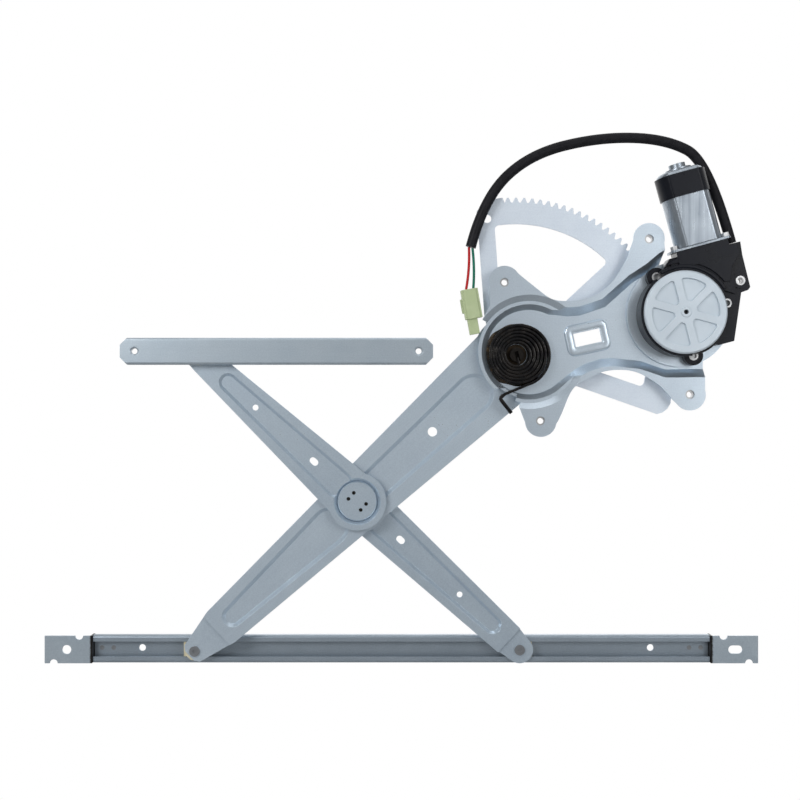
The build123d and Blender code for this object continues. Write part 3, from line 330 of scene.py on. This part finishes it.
def zinc_sheet(name, dark, light, roughness, metal, turn=0.0, gap_shade_x=None):
    """Zinc coated sheet rolled along a turned line, with a dark band of painted shade across it at
    the given x, where a bracket steps off the rail.
    """
    material, tree, shader, place = new_material(name)
    turned = place.node("ShaderNodeMapping", Vector=place, Rotation=(0.0, turn, 0.0))
    lengthwise = turned.node("ShaderNodeMapping", Vector=turned, Scale=(18.0, 300.0, 900.0))
    lines = place.node("ShaderNodeTexNoise", Vector=lengthwise, Scale=1.0, Detail=3.0)
    cloud = place.node("ShaderNodeTexNoise", Vector=place, Scale=28.0, Detail=5.0)
    speck = place.node("ShaderNodeTexNoise", Vector=place, Scale=900.0, Detail=2.0)
    tone = cloud * 0.50 + lines * 0.14 + speck * 0.36
    colour = tone.ramp(0.35, 0.65, 0.0, 1.0).blend(dark, light)
    # Painted shade: near black across the sheet within about 2 mm of the given x, standing for the
    # shadow in the gap between bracket and rail.
    if gap_shade_x is not None:
        reach = distance_to(place, (1.0, 0.0, 0.0), gap_shade_x, 0.0) + speck * 0.0012
        colour = reach.ramp(0.0020, 0.0032, 0.0, 1.0).blend((0.018, 0.015, 0.013), colour)
    tree.links.new(colour.output, shader.inputs["Base Color"])
    rough = tone.ramp(0.3, 0.7, roughness + 0.07, roughness - 0.07)
    tree.links.new(rough.output, shader.inputs["Roughness"])
    shader.inputs["Metallic"].default_value = metal
    bump = place.node("ShaderNodeBump", Height=speck + lines * 0.5, Strength=0.06, Distance=0.0001)
    tree.links.new(bump.output, shader.inputs["Normal"])
    return material


plate_zinc = zinc_sheet("plate_zinc", (0.58, 0.67, 0.76), (0.69, 0.79, 0.88), 0.33, 0.80)

# Window pad. The floor of the pan is pressed up in a low rounded pad round its oblong
# hole. Each ring of the pad is a width, a height, a corner radius and a level.
def round_corners(width, height, corner, steps):
    """Places on a rectangle with round corners, whose middle is at zero."""
    places = []
    for side_u, side_v, first in ((1, 1, 0.0), (-1, 1, 90.0), (-1, -1, 180.0), (1, -1, 270.0)):
        for step in range(steps + 1):
            bearing = radians(first + 90.0 * step / steps)
            places.append((
                side_u * (width / 2 - corner) + corner * cos(bearing),
                side_v * (height / 2 - corner) + corner * sin(bearing),
            ))
    return places


def ring_faces(rings, count):
    """The faces between closed rings of points, and between the last ring and the first."""
    faces = []
    for ring in range(rings):
        after = (ring + 1) % rings
        for step in range(count):
            other = (step + 1) % count
            faces.append((
                ring * count + step, after * count + step,
                after * count + other, ring * count + other,
            ))
    return faces


def new_piece(name, points, faces, material, body):
    """A piece of the scene's own, from its points and faces."""
    mesh = bpy.data.meshes.new(name)
    mesh.from_pydata(points, [], faces)
    mesh.materials.append(material)
    piece = bpy.data.objects.new(name, mesh)
    bpy.context.scene.collection.objects.link(piece)
    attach(piece, body)
    return piece


def smooth(piece):
    """Turns a piece's faces outwards and shades its curved sides smooth."""
    select_only(piece)
    bpy.ops.object.mode_set(mode="EDIT")
    bpy.ops.mesh.select_all(action="SELECT")
    bpy.ops.mesh.normals_make_consistent(inside=False)
    bpy.ops.object.mode_set(mode="OBJECT")
    bpy.ops.object.shade_smooth_by_angle(angle=0.9)


pad_middle = (0.0603, 0.0090, 0.0146)
pad_turn = 0.218
pad_rings = (
    (0.0372, 0.0266, 0.0066, 0.0002), (0.0366, 0.0260, 0.0060, -0.0008),
    (0.0350, 0.0244, 0.0052, -0.0016), (0.0332, 0.0226, 0.0044, -0.0018),
    (0.0262, 0.0150, 0.0024, -0.0018), (0.0240, 0.0128, 0.0012, -0.0014),
    (0.0227, 0.0115, 0.0006, 0.0004),
)
corner_steps = 8
points = []
for width, height, corner, level in pad_rings:
    for x, z in round_corners(width, height, corner, corner_steps):
        points.append((
            pad_middle[0] + x * cos(pad_turn) - z * sin(pad_turn),
            pad_middle[1] + level,
            pad_middle[2] + x * sin(pad_turn) + z * cos(pad_turn),
        ))
faces = ring_faces(len(pad_rings), 4 * (corner_steps + 1))
smooth(new_piece("window_pad", points, faces, plate_zinc, "base"))

# Pressed and rolled pieces. The bends of the plate are wide, those of the arms and rails
# are tight; the grain of each arm lies along it, and the lower rail is the darkest, its colour
# darkened as painted shade.
arm_lie = 0.745
sector_zinc = zinc_sheet("sector_zinc", (0.69, 0.77, 0.87), (0.79, 0.87, 0.96), 0.42, 0.4)
arm_zinc = zinc_sheet("arm_zinc", (0.50, 0.59, 0.68), (0.62, 0.72, 0.81), 0.33, 0.55, arm_lie)
balance_zinc = zinc_sheet(
    "balance_zinc", (0.46, 0.55, 0.64), (0.59, 0.69, 0.78), 0.33, 0.6, -arm_lie
)
rail_tones = ((0.42, 0.50, 0.57), (0.55, 0.63, 0.70), 0.35, 0.65)
rail_zinc = zinc_sheet("rail_zinc", *rail_tones)
# Painted shade: the lower rail is a darker copy of the rail zinc, standing for the shade that
# falls on it.
low_rail_zinc_painted_shade = zinc_sheet("low_rail_zinc_painted_shade", (0.31, 0.37, 0.43), (0.41, 0.48, 0.55), 0.36, 0.65)
tight_bend = 0.0005
rounded("base_plate", "pressed_plate", plate_zinc, "base", radius=0.0009)
finish_node("sector_gear", sector_zinc)
for name, title, material, body, slot in (
    ("lift_arm", "pressed_lift_arm", arm_zinc, "main_arm", "arm_zinc"),
    ("balance_arm_upper", "pressed_balance_arm_upper", balance_zinc, "balance_arm", "arm_zinc"),
    ("balance_arm_lower", "pressed_balance_arm_lower", balance_zinc, "balance_arm", "arm_zinc"),
    ("upper_rail", "rolled_upper_rail", rail_zinc, "upper_rail", "rail_zinc"),
    ("glass_rail", "rolled_glass_rail", low_rail_zinc_painted_shade, "glass_rail", "rail_zinc"),
):
    rounded(name, title, material, body, tight_bend)
rail_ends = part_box("glass_rail")
# Each bracket's sheet carries a band of painted shade across it at the rail's end.
for name, end in (("left_end_bracket", 0), ("right_end_bracket", 1)):
    bracket_zinc_gap_shade = zinc_sheet(name + "_zinc", *rail_tones, gap_shade_x=rail_ends[end][0])
    rounded(name, "folded_" + name, bracket_zinc_gap_shade, "glass_rail", tight_bend)


# Small steel pieces. Nuts, rivets, pins, bushes and screws are turned or pressed steel
# with a bright plating, a little duller where tools held them.
def plated_steel(name, dark, light, roughness):
    """Plated or bare metal with a cloudy tone."""
    material, tree, shader, place = new_material(name)
    cloud = place.node("ShaderNodeTexNoise", Vector=place, Scale=160.0, Detail=5.0)
    tree.links.new(cloud.blend(dark, light).output, shader.inputs["Base Color"])
    rough = cloud.ramp(0.3, 0.7, roughness + 0.1, roughness - 0.05)
    tree.links.new(rough.output, shader.inputs["Roughness"])
    shader.inputs["Metallic"].default_value = 0.85
    bump = place.node("ShaderNodeBump", Height=cloud, Strength=0.1, Distance=0.0001)
    tree.links.new(bump.output, shader.inputs["Normal"])
    return material


bright_steel = plated_steel("bright_steel", (0.48, 0.49, 0.50), (0.66, 0.67, 0.68), 0.34)
dark_steel = plated_steel("dark_steel", (0.26, 0.26, 0.27), (0.38, 0.38, 0.39), 0.36)
greasy_steel_and_shade = plated_steel("greasy_steel_and_shade", (0.008, 0.008, 0.008), (0.035, 0.030, 0.026), 0.30)
stained_steel = plated_steel("stained_steel", (0.18, 0.19, 0.20), (0.45, 0.47, 0.50), 0.38)
bronze = plated_steel("bronze", (0.015, 0.012, 0.009), (0.06, 0.042, 0.025), 0.4)
for name in (
    "ear_weld_nuts", "flange_screws", "motor_mount_screws", "insert_sleeves",
    "sector_rivets", "centre_bush", "upper_shoe_pin", "upper_rail_nuts", "worm_shaft",
):
    finish_node(name, bright_steel)
finish_node("centre_disc", balance_zinc)
finish_node("output_pinion", dark_steel)
# The shafts are dark with grease; on the centre rivets the same near black finish is painted shade
# for their stake holes.
for name in ("pivot_shaft", "centre_rivets", "output_shaft"):
    finish_node(name, greasy_steel_and_shade)
for name in ("left_shoe_pin", "right_shoe_pin", "rail_rivets"):
    finish_node(name, stained_steel)
finish_node("pivot_bush", bronze)

# Shoes and washers. Cut and moulded natural nylon, waxy and a little yellow; the worm
# wheel in the housing is of the same nylon.
nylon = moulded("nylon", (0.66, 0.60, 0.42), (0.78, 0.73, 0.55), 0.42, 90.0, 0.0001)
for name in ("upper_shoe", "left_shoe", "right_shoe", "front_washer", "rear_washer", "worm_wheel"):
    finish_node(name, nylon)

# Spring. A dark strip of spring steel smeared with grease. Its coils and its thicker hook
# stay on the plate; the tongue at its inner end sits in the shaft's slot and turns with it.
spring_material, tree, shader, place = new_material("greased_spring")
smear = place.node("ShaderNodeTexNoise", Vector=place, Scale=110.0, Detail=6.0)
blots = place.node("ShaderNodeTexNoise", Vector=place, Scale=420.0, Detail=3.0)
coat = (smear * 0.7 + blots * 0.3).ramp(0.44, 0.60, 0.0, 1.0)
tone = coat.blend((0.003, 0.003, 0.004), (0.012, 0.010, 0.009))
tree.links.new(tone.output, shader.inputs["Base Color"])
tree.links.new(coat.ramp(0.0, 1.0, 0.40, 0.20).output, shader.inputs["Roughness"])
tree.links.new(coat.ramp(0.0, 1.0, 0.5, 0.0).output, shader.inputs["Metallic"])
shader.inputs["Specular IOR Level"].default_value = 0.35
lumps = place.node("ShaderNodeBump", Height=smear, Strength=0.5, Distance=0.0006)
tree.links.new(lumps.output, shader.inputs["Normal"])
strip_width = 0.0022
strip_depth = 0.0061
strip_middle = 0.00455
strip_corner = 0.0004
turns = 6
steps_per_turn = 48
start_bearing = radians(285.0)
start_radius = 0.0092
end_radius = 0.0262
end_drift = 0.0022
hook_growth = 1.35
hook = (
    (-0.0095, -0.0329), (-0.0118, -0.0345), (-0.0131, -0.0357), (-0.0134, -0.0371),
    (-0.0127, -0.0385), (-0.0044, -0.0490),
)


def strip_piece(name, line, thin_count, body):
    """A flat strip on edge along a line; it is thicker after its first thin_count places."""
    section = round_corners(strip_width, strip_depth, strip_corner, 2)
    points = []
    for number, (x, z) in enumerate(line):
        before = line[max(number - 1, 0)]
        after = line[min(number + 1, len(line) - 1)]
        run = (after[0] - before[0], after[1] - before[1])
        length = hypot(*run)
        growth = 1.0 if number <= thin_count else hook_growth
        for u, v in section:
            u *= growth
            points.append((x - run[1] / length * u, strip_middle + v, z + run[0] / length * u))
    count = len(section)
    faces = [tuple(range(count)), tuple(range(len(points) - 1, len(points) - count - 1, -1))]
    for number in range(len(line) - 1):
        for step in range(count):
            other = (step + 1) % count
            here, there = number * count, (number + 1) * count
            faces.append((here + other, here + step, there + step, there + other))
    piece = new_piece(name, points, faces, spring_material, body)
    smooth(piece)
    return piece


coil_line = []
for step in range(turns * steps_per_turn + 1):
    part = step / (turns * steps_per_turn)
    bearing = start_bearing - part * turns * 2.0 * pi
    radius = start_radius + (end_radius - start_radius) * part
    coil_line.append((radius * cos(bearing) + end_drift * part, radius * sin(bearing)))
coils = strip_piece("spring_coils", [*coil_line, *hook], len(coil_line), "base")
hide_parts("counterbalance_spring")
tongue_line = [
    (reach * cos(start_bearing), reach * sin(start_bearing)) for reach in (0.0025, 0.0050, 0.0080)
]
strip_piece("spring_tongue", tongue_line, len(tongue_line), "main_arm")

# Spring grease. It has run to a thin dark film on the floor of the pocket under the
# coils, brown in places, with a lobe towards the lower left. Each ring of the film is a
# radius, how far its edge wanders and a level.
grease_material, tree, shader, place = new_material("spring_grease")
pools = place.node("ShaderNodeTexNoise", Vector=place, Scale=150.0, Detail=5.0)
thin = pools.ramp(0.48, 0.66, 0.0, 1.0)
tone = thin.blend((0.004, 0.004, 0.003), (0.065, 0.038, 0.014))
tree.links.new(tone.output, shader.inputs["Base Color"])
tree.links.new(thin.ramp(0.0, 1.0, 0.16, 0.34).output, shader.inputs["Roughness"])
waves = place.node("ShaderNodeBump", Height=pools, Strength=0.4, Distance=0.0003)
tree.links.new(waves.output, shader.inputs["Normal"])
film_steps = 96
film_back = 0.00897
film_front = 0.00865
film_rings = (
    (0.0093, 0.0, film_back), (0.0097, 0.0, film_front),
    (0.0250, 0.6, film_front), (0.0264, 1.0, film_back),
)
lobe_bearing = radians(208.0)
points = []
for radius, wander, level in film_rings:
    for step in range(film_steps):
        bearing = 2.0 * pi * step / film_steps
        lobe = 0.0022 * max(0.0, cos(bearing - lobe_bearing)) ** 12
        wave = 0.0005 * sin(5.0 * bearing + 1.0) + 0.0003 * sin(11.0 * bearing)
        reach = radius + wander * (lobe + wave)
        points.append((reach * cos(bearing), level, reach * sin(bearing)))
faces = ring_faces(len(film_rings), film_steps)
new_piece("grease_film", points, faces, grease_material, "base")

# Gear housing. Black glass-filled plastic with a slight blue sheen; the band round the
# can is the same plastic, and the card of the brushes is a brown one.
black_plastic = moulded(
    "black_plastic", (0.003, 0.004, 0.007), (0.011, 0.013, 0.020), 0.30, 60.0, 0.00012
)
black_shader = black_plastic.node_tree.nodes["Principled BSDF"]
black_shader.inputs["Specular IOR Level"].default_value = 0.20
rounded("gear_housing", "moulded_housing", black_plastic, "base", radius=0.0008)
finish_node("harness_band", black_plastic)
brown_card = moulded("brown_card", (0.10, 0.05, 0.025), (0.16, 0.09, 0.05), 0.6, 80.0, 0.0001)
finish_node("brush_card", brown_card)


# Housing relief. A collar stands round the cover's upper right side, and the neck below
# the motor is a raised deck whose ledge runs down beside the ear.
def deck(name, outline, front, radius):
    """A raised flat on the housing over an outline seen from the cabin."""
    count = len(outline)
    points = [(x, -deck_back, z) for x, z in outline] + [(x, -front, z) for x, z in outline]
    faces = [tuple(range(count)), tuple(range(2 * count - 1, count - 1, -1))]
    for step in range(count):
        other = (step + 1) % count
        faces.append((step, count + step, count + other, other))
    soften(new_piece(name, points, faces, black_plastic, "base"), radius)


deck_back = 0.0100
cover_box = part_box("gear_cover")
cover_x = (cover_box[0][0] + cover_box[1][0]) / 2
cover_z = (cover_box[0][2] + cover_box[1][2]) / 2


def round_cover(radius, first, last, steps):
    """Places on an arc round the cover's centre."""
    bearings = [radians(first + (last - first) * step / steps) for step in range(steps + 1)]
    return [(cover_x + radius * cos(b), cover_z + radius * sin(b)) for b in bearings]


collar = [*round_cover(0.0366, 30.0, 122.0, 36), *round_cover(0.0398, 122.0, 30.0, 36)]
deck("housing_collar", collar, front=0.0176, radius=0.0010)
neck_deck = [
    (0.1300, 0.0790), (0.1806, 0.0914), (0.1828, 0.0835), (0.1765, 0.0720), (0.1752, 0.0605),
    *round_cover(0.0413, 38.0, 112.0, 24),
]
deck("housing_deck", neck_deck, front=0.0166, radius=0.0008)

# Gear cover. Die cast zinc, light and matt, with the fine pebbled skin of the die; its
# centre hole is painted near black, as painted shade.
hole_radius = 0.0019
cover_material, tree, shader, place = new_material("cast_cover")
cloud = place.node("ShaderNodeTexNoise", Vector=place, Scale=45.0, Detail=5.0)
pebble = place.node("ShaderNodeTexNoise", Vector=place, Scale=1400.0, Detail=2.0)
from_centre = distance_to(place, (1.0, 0.0, 1.0), cover_x, cover_z)
skin_tone = cloud.blend((0.56, 0.64, 0.71), (0.66, 0.74, 0.81))
# Painted shade: the colour turns near black inside hole_radius of the cover's centre, standing for
# the shade in its centre hole.
past_hole = from_centre.ramp(hole_radius - 0.00025, hole_radius + 0.0001, 0.0, 1.0)
hole_painted_shade = past_hole.blend((0.015, 0.015, 0.018), skin_tone)
tree.links.new(hole_painted_shade.output, shader.inputs["Base Color"])
tree.links.new(cloud.ramp(0.3, 0.7, 0.50, 0.38).output, shader.inputs["Roughness"])
shader.inputs["Metallic"].default_value = 0.35
skin = place.node("ShaderNodeBump", Height=pebble, Strength=0.3, Distance=0.0002)
tree.links.new(skin.output, shader.inputs["Normal"])
rounded("gear_cover", "cast_gear_cover", cover_material, "base", radius=0.0009)

# Motor. A drawn steel can with a bright satin zinc coat, streaked along its length where
# the drawing ring passed; magnets, rotor and commutator are inside.
can_material, tree, shader, place = new_material("drawn_can")
motor_lean = 0.265
along = place.node(
    "ShaderNodeMapping", Vector=place, Rotation=(0.0, motor_lean, 0.0), Scale=(600.0, 600.0, 9.0)
)
streak = place.node("ShaderNodeTexNoise", Vector=along, Scale=1.0, Detail=3.0)
cloud = place.node("ShaderNodeTexNoise", Vector=place, Scale=60.0, Detail=4.0)
tone = streak * 0.6 + cloud * 0.4
bright = tone.ramp(0.35, 0.65, 0.0, 1.0).blend((0.29, 0.33, 0.38), (0.42, 0.47, 0.52))
tree.links.new(bright.output, shader.inputs["Base Color"])
tree.links.new(tone.ramp(0.35, 0.65, 0.40, 0.26).output, shader.inputs["Roughness"])
shader.inputs["Metallic"].default_value = 0.9
drawn = place.node("ShaderNodeBump", Height=streak, Strength=0.1, Distance=0.0001)
tree.links.new(drawn.output, shader.inputs["Normal"])
rounded("motor_can", "drawn_motor_can", can_material, "base", radius=0.0008)
rounded("motor_flange", "stamped_flange", can_material, "base", radius=0.0004)
ferrite = moulded("ferrite", (0.02, 0.02, 0.022), (0.05, 0.05, 0.052), 0.6, 200.0, 0.0002)
laminations = plated_steel("laminations", (0.16, 0.10, 0.07), (0.30, 0.20, 0.14), 0.5)
copper_bars = plated_steel("copper_bars", (0.52, 0.24, 0.12), (0.68, 0.36, 0.20), 0.32)
finish_node("motor_magnets", ferrite)
finish_node("armature", laminations)
finish_node("commutator", copper_bars)
